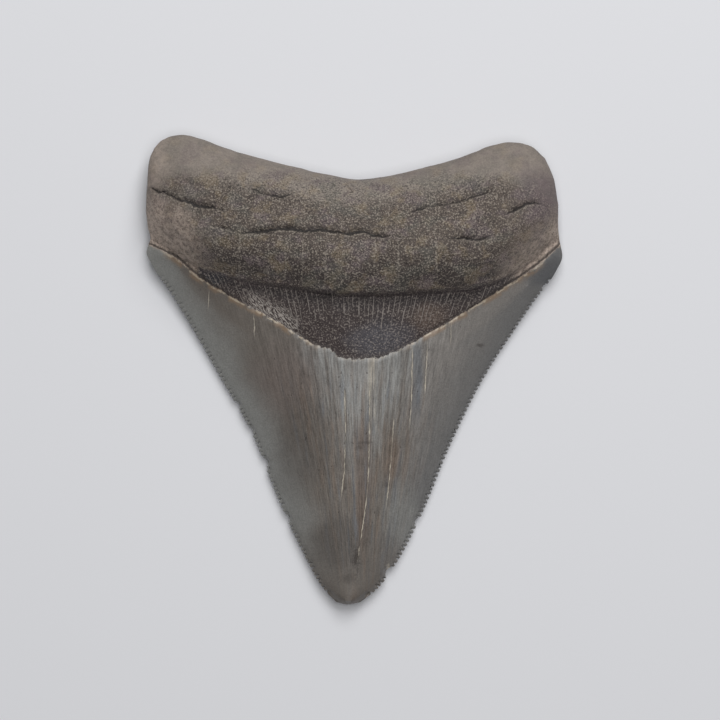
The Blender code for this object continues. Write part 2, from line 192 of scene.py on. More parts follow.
ROOT_CREST_Y = 21.0 * MM
LOBE_X = 31.0 * MM
LOBE_DROP = 3.6 * MM
ROOT_BACK = 17.0 * MM
ROOT_BACK_DROP = 2.4 * MM
ROOT_SIDE_ROUNDING = 8.0 * MM
BASAL_ROUNDING = 13.0 * MM
LABIAL_ROUNDING = 5.5 * MM
ROOT_SLOPE = 8.5 * MM
ROOT_SWELLS = mm(
    (0.28, 23.0, 31.0), (0.16, -11.0, 13.0), (0.10, 6.5, -9.0)  # height, wavelengths in x and y
)
LOBE_REST_HEIGHT = -0.3 * MM
LOBE_HOLLOW = 1.4 * MM
LOBE_HOLLOW_HALF_WIDTH = 13.0 * MM


def ease(t):
    """0 below 0, 1 above 1, and 3t^2 - 2t^3 between."""
    t = np.clip(t, 0.0, 1.0)
    return t * t * (3 - 2 * t)


def crossing_line(inner, share, offset=0.0):
    """A line over the root from side to side, through inner points, with its ends on the sides."""
    ends = np.array([share])
    left = along(LEFT_ROOT_SIDE, ends)
    right = along(RIGHT_ROOT_SIDE, ends)
    return np.vstack([left, inner + np.array([0.0, offset]), right])


def line_y(line, x):
    """y of a line from left to right, at each x."""
    points = along(line, PATH_SHARES)
    return np.interp(x, points[:, 0], points[:, 1])


def root_rims(root_share, back_rounding, side_rounding):
    """How full the root is: one quarter circle in from its sides times one in from its back."""
    back = (1 - root_share) * (BASAL_MARGIN[:, 1].mean() - LEDGE_LINE[:, 1].mean())
    width = BASAL_MARGIN[-1, 0] - BASAL_MARGIN[0, 0]
    side = np.minimum(across, 1 - across)[None, :] * width
    return rounding(back / back_rounding) * rounding(side / side_rounding)


def lingual_heights(x, y, crown_share, root_share):
    """The crown's dome; past the enamel's edge the neck, a step and a dip below it; and from the
    ledge a cliff and a climb, a quarter sine wave, to the root's crest, a saddle with swells."""
    crown, dome = lingual_crown(x, y, crown_share)
    off_enamel = ease(root_share / ENAMEL_FOOT_SHARE)
    past_ledge = y - line_y(crossing_line(LEDGE_LINE, LEDGE_SHARE, -0.5 * LEDGE_RUN), x)
    inside = ease((x - LEDGE_ENDS[0]) / LEDGE_FADE) * ease((LEDGE_ENDS[1] - x) / LEDGE_FADE)
    dip = NECK_DIP * inside * ease(1 + past_ledge / NECK_DIP_WIDTH) * off_enamel
    neck = crown - ENAMEL_THICKNESS * off_enamel * ease(dome / STEP_FADE) - dip

    top = (
        ROOT_HEIGHT
        - LOBE_DROP * (x / LOBE_X) ** 2
        - ROOT_BACK_DROP * ((y - ROOT_CREST_Y) / ROOT_BACK) ** 2
    )
    for height, length_x, length_y in ROOT_SWELLS:
        top = top + height * np.sin(2 * math.pi * (x / length_x + y / length_y))
    edge = at_station(EDGE_HEIGHT, y)
    root = edge + (top - edge) * root_rims(root_share, BASAL_ROUNDING, ROOT_SIDE_ROUNDING)
    cliff = LEDGE_HEIGHT * inside * ease(past_ledge / LEDGE_RUN)
    climb = np.sin(0.5 * math.pi * np.clip(past_ledge / ROOT_SLOPE, 0.0, 1.0))
    return neck + cliff + (root - neck - cliff) * climb


def labial_heights(x, y, crown_share, root_share):
    """The flat face; past the enamel's edge it swells down to the two lobes, which rest on the
    table, with a hollow between them shaped as a bell curve."""
    crown = labial_crown(x, y, crown_share)
    edge = at_station(EDGE_HEIGHT, y)
    hollow = LOBE_HOLLOW * np.exp(-((x / LOBE_HOLLOW_HALF_WIDTH) ** 2))
    rims = root_rims(root_share, LABIAL_ROUNDING, LABIAL_ROUNDING)
    root = edge - (edge - LOBE_REST_HEIGHT - hollow) * rims
    neck = crown + ENAMEL_THICKNESS * ease(root_share / ENAMEL_FOOT_SHARE)
    return np.maximum(neck + (root - neck) * ease(root_share / CREST_SHARE), 0.0)


# ------------------------------------------------------------
# Both faces as grids: rows from the tip to the basal margin, eight to each serration, and columns
# from side to side. Both grids share their border, the cutting edges and the root's rim.
COLUMNS = 240
SIDE_CROWDING = 0.35  # how much closer the columns are at the sides, 0 for even ones
SERRATIONS = 76
ROWS_A_SERRATION = 8
TIP_ROWS = 8
SHOULDER_ROWS = 24
ROOT_BAND_ROWS = (2, 26, 4, 80)  # the enamel's step, the neck, the ledge and the root over it
BASAL_CROWDING = 0.65  # the same for the rows at the basal margin
ROOT_SHARES = (0.0, ENAMEL_FOOT_SHARE, LEDGE_SHARE, CREST_SHARE, 1.0)
SERRATED_LEFT = (2.6 * MM, 66.5 * MM)  # from and to, along the edge from the tip
SERRATED_RIGHT = (2.6 * MM, 67.5 * MM)
ENAMEL_JAG = 0.22 * MM
ENAMEL_JAG_LENGTH = 0.7 * MM
ENAMEL_JAG_MIDDLE = 9 * MM  # how far from the middle the teeth are long
ENAMEL_JAG_END = 35 * MM
ENAMEL_JAG_FADE = 4 * MM
ENAMEL_CHIPS = mm(
    (-4.4, 0.9, 0.55), (-2.2, 0.9, -0.40), (4.6, 1.3, -0.25)  # place in x, width and height
)
ROW_BEND = 5.0 * MM  # how far in the rows stay square to a cutting edge
ROW_BEND_SHARE = 0.8  # of the half width, where the crown is narrow
ROW_BEND_FADE = 0.07  # of the crown's rows, at the tip and at the shoulder
NOISE_CELLS = 64

even = np.linspace(0.0, 1.0, COLUMNS + 1)
across = (1 - SIDE_CROWDING) * even + SIDE_CROWDING * (0.5 - 0.5 * np.cos(math.pi * even))


def grain(points, size, seed):
    """Smooth noise from -1 to 1: a seeded lattice of random values, with cells of the given size,
    blended between the eight corners of the cell that each point lies in."""
    lattice = np.random.default_rng(seed).uniform(-1.0, 1.0, (NOISE_CELLS,) * 3)
    low = np.floor(points / size).astype(int)
    t = ease(points / size - low)
    total = 0.0
    for corner in np.ndindex(2, 2, 2):
        weight = np.prod(np.where(corner, t, 1 - t), axis=-1)
        at = (low + np.array(corner)) % NOISE_CELLS
        total = total + weight * lattice[at[..., 0], at[..., 1], at[..., 2]]
    return total


def in_a_row(values):
    """Points along x, so that the noise there depends on one value alone."""
    return np.stack([values, 0 * values, 0 * values], axis=-1)


def crown_distances(serrated, edge):
    """Distances along a cutting edge of the rows: over the tip, the serrations and the shoulder."""
    tip = np.linspace(0.0, serrated[0], TIP_ROWS, endpoint=False)
    teeth = np.linspace(*serrated, SERRATIONS * ROWS_A_SERRATION, endpoint=False)
    shoulder = np.linspace(serrated[1], path_knots(edge)[-1], SHOULDER_ROWS + 1)
    return np.concatenate([tip, teeth, shoulder])


def patch(bottom, top, left, right, up):
    """Plan points between four border lines (a Coons patch): the blend of bottom and top plus the
    blend of left and right, less the blend of the four corners."""
    u = across[None, :, None]
    v = up[:, None, None]
    rows = (1 - v) * bottom[None] + v * top[None]
    columns = (1 - u) * left[:, None] + u * right[:, None]
    corners = (1 - v) * ((1 - u) * bottom[0] + u * bottom[-1]) + v * ((1 - u) * top[0] + u * top[-1])
    return rows + columns - corners


def jagged(line):
    """The line's points with small teeth in y, most in the middle, and the bumps of its chips."""
    x = line[:, 0]
    at = in_a_row(x)
    teeth = grain(at, ENAMEL_JAG_LENGTH, 3) + 0.6 * grain(at, 0.4 * ENAMEL_JAG_LENGTH, 4)
    fade = ease((ENAMEL_JAG_END - np.abs(x)) / ENAMEL_JAG_FADE)
    offset = ENAMEL_JAG * teeth * fade * (0.4 + 0.6 * np.exp(-((x / ENAMEL_JAG_MIDDLE) ** 2)))
    for middle, width, height in ENAMEL_CHIPS:
        offset = offset + height * np.exp(-(((x - middle) / width) ** 2))
    return line + np.stack([0 * x, offset], axis=1)


def edge_normals(border, inward):
    """Unit vectors square to an edge, in plan: its run turned by a quarter, towards the tooth."""
    run = np.gradient(border, axis=0)
    run /= np.linalg.norm(run, axis=1)[:, None]
    return inward * np.stack([run[:, 1], -run[:, 0]], axis=1)


def square_up(plan, left, right, up):
    """Turns the rows beside both cutting edges square to them, so that serrations are too: a point
    goes to its own distance along the edge's normal, less and less so further in."""
    half_width = 0.5 * np.linalg.norm(right - left, axis=1)
    bend = np.minimum(ROW_BEND, ROW_BEND_SHARE * half_width)[:, None]
    fade = (ease((1 - up) / ROW_BEND_FADE) * ease(up / ROW_BEND_FADE))[:, None]
    for border, inward in ((left, 1), (right, -1)):
        normal = edge_normals(border, inward)[:, None]
        inset = np.abs(((plan - border[:, None]) * normal).sum(axis=-1))
        weight = fade * (1 - ease(inset / bend))
        square = border[:, None] + normal * inset[..., None]
        plan = plan + (square - plan) * weight[..., None]
    return plan


def sheet(lines, heights):
    """One face as a grid of points: in plan a patch between each two of its lines, and a height
    by the place in plan and by how far up the crown and the root each row is."""
    left_distance = crown_distances(SERRATED_LEFT, LEFT_CUTTING_EDGE)
    right_distance = crown_distances(SERRATED_RIGHT, RIGHT_CUTTING_EDGE)
    left_share = left_distance / left_distance[-1]
    right_share = right_distance / right_distance[-1]
    up = 0.5 * (left_share + right_share)
    borders = [along(line, across) for line in lines]
    borders[1], borders[2] = jagged(borders[1]), jagged(borders[2])
    left, right = along(LEFT_CUTTING_EDGE, left_share), along(RIGHT_CUTTING_EDGE, right_share)
    plan = [square_up(patch(borders[0], borders[1], left, right, up), left, right, up)]
    crown_share, root_share = [up], [0 * up]
    for band, steps in enumerate(ROOT_BAND_ROWS):
        up = np.linspace(0.0, 1.0, steps + 1)[1:]
        if ROOT_SHARES[band + 1] == 1.0:
            up = (1 - BASAL_CROWDING) * up + BASAL_CROWDING * np.sin(0.5 * math.pi * up)
        side = ROOT_SHARES[band] + (ROOT_SHARES[band + 1] - ROOT_SHARES[band]) * up
        left, right = along(LEFT_ROOT_SIDE, side), along(RIGHT_ROOT_SIDE, side)
        plan.append(patch(borders[band + 1], borders[band + 2], left, right, up))
        crown_share.append(np.ones_like(up))
        root_share.append(side)
    plan = np.concatenate(plan)
    shares = np.concatenate(crown_share)[:, None], np.concatenate(root_share)[:, None]
    return np.dstack([plan, heights(plan[..., 0], plan[..., 1], *shares)])


crown_rows = TIP_ROWS + SERRATIONS * ROWS_A_SERRATION + SHOULDER_ROWS

enamel_edge = crossing_line(ENAMEL_LINE, 0.0)
lingual_lines = (
    TIP_LINE,
    enamel_edge,
    crossing_line(ENAMEL_LINE, ENAMEL_FOOT_SHARE, ENAMEL_FOOT_WIDTH),
    crossing_line(LEDGE_LINE, LEDGE_SHARE, -0.5 * LEDGE_RUN),
    crossing_line(LEDGE_LINE, CREST_SHARE, 0.5 * LEDGE_RUN),
    BASAL_MARGIN,
)

labial_enamel_edge = crossing_line(LABIAL_ENAMEL_LINE, 0.0)
labial_root = BASAL_MARGIN[:, 1].mean() - LABIAL_ENAMEL_LINE[:, 1].mean()
labial_bands = [
    crossing_line(LABIAL_ENAMEL_LINE, share, share * labial_root) for share in ROOT_SHARES[:-1]
]
labial_lines = (TIP_LINE, *labial_bands, BASAL_MARGIN)
sheets = np.stack([sheet(lingual_lines, lingual_heights), sheet(labial_lines, labial_heights)])
rows = sheets.shape[1] - 1  # the sheets go by face, row, column and coordinate

# ------------------------------------------------------------
# Serrations and wear of the cutting edges: fine round beads grown in one with the enameloid, crisp
# on the right edge, worn on the left one, with a few chips knocked out of both.
LEFT_DEPTH = 0.42 * MM
RIGHT_DEPTH = 0.52 * MM
SERRATION_FADE = 1.2 * MM  # how far in over the faces the grooves between serrations run out
NOTCH_HALF_WIDTH = 0.19  # of the way from one serration to the next
NOTCH_DRIFT = 0.16
NOTCH_DRIFT_LENGTH = 1.3  # serrations
BEAD_SHOULDER = 0.12 * MM
UPPER_SHARE = 0.75  # of the depth that is left towards the shoulder
UPPER_START = 0.4  # shares of the serrated edge, from the tip
UPPER_RUN = 0.3
LEFT_WEAR = 0.7
RIGHT_WEAR = 0.35
NICK_DEPTH = 0.65  # of a nick's radius
# Nicks: how far along the edge from the tip, and their radius
LEFT_NICKS = mm((17.6, 0.9), (28.3, 1.1), (34.6, 0.8), (39.8, 0.9))
RIGHT_NICKS = mm((7.6, 1.3), (18.0, 0.9), (66.0, 0.7))


def edge_cut(edge, serrated, depth, wear, nicks, seed):
    """How deep each row's end is cut in: between each two beads a notch, exp(-(t / width)^4) at a
    share t of the way to the next, with round shoulders, or a nick's parabola where it is deeper."""
    chance = np.random.default_rng(seed)
    distance = crown_distances(serrated, edge)
    place = SERRATIONS * (distance - serrated[0]) / (serrated[1] - serrated[0])
    serrated_here = (place >= 0.0) & (place <= SERRATIONS)
    place = place + NOTCH_DRIFT * grain(in_a_row(place), NOTCH_DRIFT_LENGTH, seed)
    number = np.clip(np.round(place).astype(int), 0, SERRATIONS)
    worn = wear * chance.uniform(0.0, 1.0, SERRATIONS + 1)[number] ** 2
    upper = 1 - (1 - UPPER_SHARE) * ease((place / SERRATIONS - UPPER_START) / UPPER_RUN)
    t = np.abs(place - np.round(place))
    notch = depth * upper * (1 - worn) * np.exp(-((t / NOTCH_HALF_WIDTH) ** 4))
    shoulder = BEAD_SHOULDER * (1 - np.sin(math.pi * t)) ** 2
    cut = np.where(serrated_here, notch + shoulder, 0.0)
    for at, radius in nicks:
        dent = 1 - ((distance - at) / radius) ** 2
        cut = np.maximum(cut, NICK_DEPTH * radius * np.clip(dent, 0.0, 1.0))
    return np.concatenate([cut, np.zeros(rows - crown_rows)])


def cut_edge(sheets, column, inward, cut):
    """Shifts each row's points in from one cutting edge by its cut, less and less further in."""
    border = sheets[0, :, column, :2]
    normal = edge_normals(border, inward)
    inset = np.abs(((sheets[..., :2] - border[:, None]) * normal[:, None]).sum(axis=-1))
    fade = 1 - ease(inset / np.maximum(SERRATION_FADE, 2 * cut)[:, None])
    sheets[..., :2] += (normal * cut[:, None])[:, None] * fade[..., None]
    return inset


left_cut = edge_cut(LEFT_CUTTING_EDGE, SERRATED_LEFT, LEFT_DEPTH, LEFT_WEAR, LEFT_NICKS, 11)
right_cut = edge_cut(RIGHT_CUTTING_EDGE, SERRATED_RIGHT, RIGHT_DEPTH, RIGHT_WEAR, RIGHT_NICKS, 12)
left_inset = cut_edge(sheets, 0, 1, left_cut)
right_inset = cut_edge(sheets, -1, -1, right_cut)
margin = np.minimum(left_inset, right_inset)

# ------------------------------------------------------------
# What weathering and drying did to the surfaces: dark cracks across the root, hairline cracks down
# the crown that have filled with pale silt, fine ribs on the neck, and the root's grain.
# Cracks across the root in millimetres, and how wide each gapes
CRACKS = (
    ((-36.2, 32.6), (-34.0, 31.6), (-31.0, 30.3), (-29.2, 29.8), (-27.6, 29.3), (-25.8, 29.0),
     (-22.8, 28.4)),
    ((-18.2, 32.0), (-17.0, 31.6), (-15.4, 31.2), (-13.8, 31.0), (-11.2, 31.3)),
    ((-23.6, 25.6), (-21.6, 24.9), (-19.0, 24.4), (-15.3, 24.6), (-12.9, 25.0), (-10.5, 25.1),
     (-8.9, 24.7), (-7.3, 25.0), (-4.5, 24.7), (-2.5, 24.3), (0.3, 24.4), (2.3, 24.5),
     (3.5, 24.0), (5.1, 23.7), (6.7, 24.0), (8.5, 23.6)),
    ((16.4, 23.6), (19.5, 23.4), (22.4, 23.2), (24.3, 23.9), (27.4, 24.9)),
    ((10.3, 28.2), (13.0, 28.9), (16.1, 29.6), (19.1, 30.2), (21.6, 31.0), (24.4, 31.6)),
    ((26.2, 27.5), (28.4, 28.4), (30.4, 29.4), (33.2, 29.8)),
    ((-30.2, 33.8), (-27.8, 33.0), (-24.6, 32.7), (-21.7, 32.2), (-19.4, 31.0)),
)
CRACK_OPENINGS = (1.1, 0.9, 1.2, 0.8, 0.9, 0.9, 0.4)
CRACK_SHARES = np.linspace(0.0, 1.0, 240)
CRACK_DEPTH = 0.50 * MM
CRACK_HALF_WIDTH = 0.55 * MM
CRACK_LEAST_WIDTH = 0.001 * MM
CRACK_END_WIDTH = 0.3  # of the width in its middle
CRACK_GAPE = (0.7, 0.5)  # mean share of the opening, and how much it changes along a crack
CRACK_GAPE_LENGTH = 2.2 * MM
CRACK_REACH = 3 * MM
STAIN_AND_SHADE_WIDTH = 0.8 * MM
FAR = 6 * MM
# Hairline cracks from left to right, each from its lower end to its upper one, in millimetres
HAIRLINES = (
    ((-26.2, 10.3), (-25.9, 14.3)),
    ((-17.7, 5.2), (-17.9, 10.2)),
    ((-2.4, -23.6), (-1.8, -18.3), (-1.5, -11.0), (-1.7, -3.0)),
    ((0.4, -35.3), (1.1, -30.8), (1.9, -25.4), (2.5, -20.0), (2.7, -13.0), (2.8, -2.0)),
    ((5.6, -25.4), (6.4, -18.3), (7.1, -8.4)),
    ((9.8, -11.1), (10.2, -5.8), (10.4, 4.1)),
    ((12.5, -5.8), (13.1, 5.0)),
    ((17.2, 4.1), (17.3, 8.6)),
)
HAIRLINE_HALF_WIDTH = 0.3 * MM
HAIRLINE_DEPTH = 0.05 * MM
HAIRLINE_FADES = (3 * MM, 1 * MM)  # at the lower end and at the upper one
# Thin pale streaks where water ran down the root's foot, given in the same way
VEINS = (
    ((-20.4, 16.5), (-20.2, 24.5)),
    ((-15.2, 15.5), (-15.0, 24.0)),
    ((-12.2, 15.2), (-12.0, 24.5)),
    ((-9.2, 14.8), (-8.9, 25.0)),
    ((-5.2, 14.5), (-4.8, 24.5)),
    ((3.4, 14.4), (3.9, 25.0)),
    ((8.0, 13.8), (7.7, 25.5)),
    ((14.8, 14.5), (14.2, 26.5)),
)
VEIN_FADES = (1.5 * MM, 3 * MM)
RIB_PITCH = 0.95 * MM
RIB_SWAY = 0.28  # of the pitch
RIB_FAN = 22.0  # per metre: how fast the ribs lean in towards the middle, down from the ledge
RIB_FAN_REACH = 14 * MM
RIB_LENGTH = 3.7 * MM
RIB_LENGTH_RANGE = 2.2 * MM
RIB_FADES = (0.7 * MM, 1.2 * MM, 0.5 * MM)  # at the ledge, at the foot and at the enamel
RIB_HEIGHT = 0.05 * MM
# Layers of noise: the size of their cells, their height, and a seed
CRACK_WOBBLES = ((1.1 * MM, 0.12 * MM, 40), (0.5 * MM, 0.20 * MM, 50))
ROOT_GRAINS = ((2.6 * MM, 0.12 * MM, 21), (1.3 * MM, 0.10 * MM, 22), (0.75 * MM, 0.07 * MM, 23))
ENAMEL_WAVES = (
    (mm(2.2, 14.0, 9.0), 0.035 * MM, 31),
    (mm(0.9, 9.0, 5.0), 0.012 * MM, 32),
)
RIM_SHIFTS = ((2.4 * MM, 0.09 * MM, 70), (1.1 * MM, 0.05 * MM, 72))
BONE_FADE = 1.2 * MM
SMOOTH_ENDS = (24 * MM, 10 * MM)  # |x| where the root's smoother ends start, and their fade
SMOOTH_END_SHARE = 0.6  # of the relief that is gone there
SMOOTH_MARGIN = (3 * MM, 6 * MM)  # the same down from the basal margin
SMOOTH_MARGIN_SHARE = 0.55
RIM_FADE = 0.7 * MM
ROOT_RIM_ROWS = 12
SLOPE_SPAN = 20  # samples to each side that a line's slope is averaged over

px, py = sheets[..., 0], sheets[..., 1]
row_number = np.arange(rows + 1)[None, :, None]
on_lingual = np.stack([np.ones_like(px[0]), np.zeros_like(px[0])])
on_root = np.broadcast_to(row_number > crown_rows, px.shape)


def layered(points, layers, shift=0):
    """Noise of several sizes, added up. The shift moves all the seeds on."""
    return sum(height * grain(points, size, seed + shift) for size, height, seed in layers)


def gap_above(line, x, y):
    """How far a point is past a line, square to it: the step in y times the line's cosine."""
    points = jagged(along(line, PATH_SHARES))
    slope = np.pad(np.gradient(points[:, 1], points[:, 0]), SLOPE_SPAN, mode="edge")
    slope = np.convolve(slope, np.full(2 * SLOPE_SPAN + 1, 1 / (2 * SLOPE_SPAN + 1)), mode="valid")
    cosine = 1 / np.sqrt(1 + slope**2)
    return (y - np.interp(x, points[:, 0], points[:, 1])) * np.interp(x, points[:, 0], cosine)


enamel_edges = (enamel_edge, labial_enamel_edge)
enamel_gap = np.stack([gap_above(edge, px[face], py[face]) for face, edge in enumerate(enamel_edges)])
ledge_gap = gap_above(crossing_line(LEDGE_LINE, 0.5 * (LEDGE_SHARE + CREST_SHARE)), px, py)
basal_gap = line_y(BASAL_MARGIN, px) - py

crack = np.zeros_like(px)
crack_gap = np.full_like(px, FAR)
crack_width = np.zeros_like(px)
# A dark band along each crack, partly stain and partly painted shade.
stain_and_shade = np.zeros_like(px)
for number, points in enumerate(CRACKS):
    line = along(mm(*points), CRACK_SHARES)
    at = np.stack([line[:, 0], line[:, 1], 0 * CRACK_SHARES], axis=1)
    line[:, 1] += layered(at, CRACK_WOBBLES, number)
    gape = CRACK_GAPE[0] + CRACK_GAPE[1] * grain(at, CRACK_GAPE_LENGTH, 60 + number)
    width = CRACK_END_WIDTH + (1 - CRACK_END_WIDTH) * np.sin(math.pi * CRACK_SHARES) ** 0.5
    width = CRACK_OPENINGS[number] * width * gape
    low, high = line.min(axis=0) - CRACK_REACH, line.max(axis=0) + CRACK_REACH
    inside = (px > low[0]) & (px < high[0]) & (py > low[1]) & (py < high[1])
    near = on_root & inside & (on_lingual > 0)
    distance = np.hypot(px[near][:, None] - line[:, 0], py[near][:, None] - line[:, 1])
    nearest = distance.argmin(axis=1)
    distance = distance.min(axis=1)
    width = width[nearest]
    side = np.where(py[near] > line[nearest, 1], 1.0, -1.0)
    closer = distance < np.abs(crack_gap[near])
    crack_gap[near] = np.where(closer, side * distance, crack_gap[near])
    reach = ease((CRACK_REACH - distance) / MM)
    crack_width[near] = np.where(closer, width * reach, crack_width[near])
    across_crack = distance / (CRACK_HALF_WIDTH * width + CRACK_LEAST_WIDTH)
    depth = np.clip(1 - across_crack**2, 0.0, 1.0) * width**0.5
    crack[near] = np.maximum(crack[near], depth)
    stain_and_shade[near] = np.maximum(stain_and_shade[near], width * np.exp(-((distance / STAIN_AND_SHADE_WIDTH) ** 2)))


def nearest_line(lines, fades):
    """The gap in x to the nearest of some lines, whose sign swings from one line to the next, so
    that it is zero on the lines alone, and 1 beside a line's length, with soft ends."""
    lines = [mm(*line) for line in lines]
    line_x = np.stack([np.interp(py, line[:, 1], line[:, 0]) for line in lines], axis=-1)
    offsets = px[..., None] - line_x
    nearest = np.abs(offsets).argmin(axis=-1)
    gap = np.take_along_axis(offsets, nearest[..., None], axis=-1)[..., 0] * (1 - 2 * (nearest % 2))
    foot = np.array([line[0, 1] for line in lines])[nearest]
    head = np.array([line[-1, 1] for line in lines])[nearest]
    return gap, ease((py - foot) / fades[0]) * ease((head - py) / fades[1]) * on_lingual


hairline, hairline_reach = nearest_line(HAIRLINES, HAIRLINE_FADES)
hairline_reach = hairline_reach * ~on_root
vein, vein_reach = nearest_line(VEINS, VEIN_FADES)
vein_reach = vein_reach * on_root

rib = px / (1 - RIB_FAN * np.clip(-ledge_gap, 0.0, RIB_FAN_REACH)) / RIB_PITCH
rib = rib + RIB_SWAY * grain(in_a_row(rib), 1.7, 51)
rib_length = RIB_LENGTH + RIB_LENGTH_RANGE * grain(in_a_row(rib), 1.0, 52)
rib_reach = ease(-ledge_gap / RIB_FADES[0]) * ease(1.0 + (ledge_gap + rib_length) / RIB_FADES[1])
rib_reach = rib_reach * ease(enamel_gap / RIB_FADES[2]) * on_lingual


def surface_normals(sheet, outward):
    """Unit normals: the cross product of the grid's steps along a column and along a row."""
    normal = outward * np.cross(np.gradient(sheet, axis=1), np.gradient(sheet, axis=0))
    return normal / np.maximum(np.linalg.norm(normal, axis=-1), 1e-12)[..., None]


bone = ease(enamel_gap / BONE_FADE) * on_root
ends = ease((np.abs(px) - SMOOTH_ENDS[0]) / SMOOTH_ENDS[1])
off_margin = ease((basal_gap - SMOOTH_MARGIN[0]) / SMOOTH_MARGIN[1])
roughness = bone * (1 - SMOOTH_END_SHARE * ends) * (1 - SMOOTH_MARGIN_SHARE * (1 - off_margin))
relief = roughness * layered(sheets, ROOT_GRAINS) + (1 - bone) * layered(sheets, ENAMEL_WAVES)
relief += RIB_HEIGHT * rib_reach * np.cos(2 * math.pi * rib)
relief -= CRACK_DEPTH * crack
groove = np.clip(1 - (hairline / HAIRLINE_HALF_WIDTH) ** 2, 0.0, 1.0)
relief -= HAIRLINE_DEPTH * hairline_reach * groove
rim_gap = np.minimum(margin, np.abs(basal_gap))
relief *= ease(rim_gap / RIM_FADE) * ease(row_number / TIP_ROWS)

normals = np.stack([surface_normals(sheets[0], 1), surface_normals(sheets[1], -1)])
sheets = sheets + normals * relief[..., None]
# The root's rim is uneven too. This shift depends on place alone, so that both faces still meet
up_root = ease((row_number - crown_rows) / ROOT_RIM_ROWS)
for axis in range(2):
    sheets[..., axis] += layered(sheets, RIM_SHIFTS, axis) * up_root
sheets[1, ..., 2] = np.maximum(sheets[1, ..., 2], 0.0)

# ------------------------------------------------------------
# The tooth as one closed mesh. Both grids keep every point of their shared border. Inside it the
# lingual face keeps the rest too, save for three rows of four in the crown's middle, and the
# labial face keeps every fourth row and every second column.
EDGE_STRIP = 6  # columns beside each cutting edge that keep every row
ROW_STEP = 4
LABIAL_COLUMN_STEP = 2
SHARP_ANGLE = math.radians(50)
UV_MARGIN = 0.01
LINGUAL_UV_WIDTH = 0.62

own = np.arange(2 * (rows + 1) * (COLUMNS + 1)).reshape(2, rows + 1, COLUMNS + 1)
shared = own.copy()
for border in (np.s_[0, :], np.s_[-1, :], np.s_[:, 0], np.s_[:, -1]):
    shared[1][border] = own[0][border]


def cells(grid, first_rows, first_columns, down, over, kept):
    """One face for each cell, some rows down and columns over. It walks round the cell through
    every grid point on its sides, and takes those that kept says, by row and column."""
    walk = [(0, step) for step in range(over)] + [(step, over) for step in range(down)]
    walk += [(down, over - step) for step in range(over)] + [(down - step, 0) for step in range(down)]
    walk = walk if grid is lingual_face else walk[::-1]
    i, j = np.meshgrid(first_rows, first_columns, indexing="ij")
    places = [(i + step_down, j + step_over) for step_down, step_over in walk]
    points = np.stack([grid[r, c].ravel() for r, c in places], axis=1)
    keep = np.stack([kept(r, c).ravel() for r, c in places], axis=1)
    return points[keep], keep.sum(axis=1)


def every_point(r, c):
    """Keeps all."""
    return np.ones(r.shape, dtype=bool)


def seam_points(r, c):
    """Keeps the fourth rows, and all rows where the strips beside the cutting edges end."""
    return (r % ROW_STEP == 0) | (c == EDGE_STRIP) | (c == COLUMNS - EDGE_STRIP)


def labial_points(r, c):
    """Keeps the labial face's own rows and columns, and all of its border."""
    on_grid = (r % ROW_STEP == 0) & (c % LABIAL_COLUMN_STEP == 0)
    return on_grid | (r == 0) | (r == rows) | (c == 0) | (c == COLUMNS)


columns = np.arange(COLUMNS)
left_strip, middle, right_strip = np.split(columns, [EDGE_STRIP, COLUMNS - EDGE_STRIP])
every_row, stepped_rows = np.arange(rows), np.arange(0, rows, ROW_STEP)
crown, stepped_crown = every_row[:crown_rows], stepped_rows[: crown_rows // ROW_STEP]
lingual_face, labial_face = own
parts = [
    cells(lingual_face, crown, left_strip, 1, 1, every_point),
    cells(lingual_face, crown, right_strip, 1, 1, every_point),
    cells(lingual_face, stepped_crown, middle, ROW_STEP, 1, seam_points),
    cells(lingual_face, every_row[crown_rows:], columns, 1, 1, every_point),
    cells(
        labial_face, stepped_rows, columns[::LABIAL_COLUMN_STEP], ROW_STEP, LABIAL_COLUMN_STEP,
        labial_points,
    ),
]
loops = np.concatenate([points for points, _ in parts])
sizes = np.concatenate([size for _, size in parts])
used, corners = np.unique(shared.ravel()[loops], return_inverse=True)

mesh = bpy.data.meshes.new("fossil_tooth")
mesh.vertices.add(len(used))
mesh.vertices.foreach_set("co", sheets.reshape(-1, 3)[used].ravel())
mesh.loops.add(len(corners))
mesh.loops.foreach_set("vertex_index", corners.astype(np.int32))
mesh.polygons.add(len(sizes))
mesh.polygons.foreach_set("loop_start", (np.cumsum(sizes) - sizes).astype(np.int32))
mesh.update(calc_edges=True)
mesh.validate()
mesh.shade_smooth()
mesh.set_sharp_from_angle(angle=SHARP_ANGLE)

measures = {
    "enamel_gap": enamel_gap / MM,
    "ledge_gap": np.where(on_lingual > 0, ledge_gap, FAR) / MM,
    "basal_gap": basal_gap / MM,
    "margin": margin / MM,
    "crack_gap": crack_gap / MM,
    "crack_width": crack_width,
    "stain_and_shade": stain_and_shade,
    "hairline": hairline / MM,
    "hairline_reach": hairline_reach,
    "vein": vein / MM,
    "vein_reach": vein_reach,
    "rib": rib,
    "rib_reach": rib_reach,
    "lingual": on_lingual,
}
for name, values in measures.items():
    attribute = mesh.attributes.new(name, "FLOAT", "POINT")
    attribute.data.foreach_set("value", values.ravel()[used].astype(np.float32))

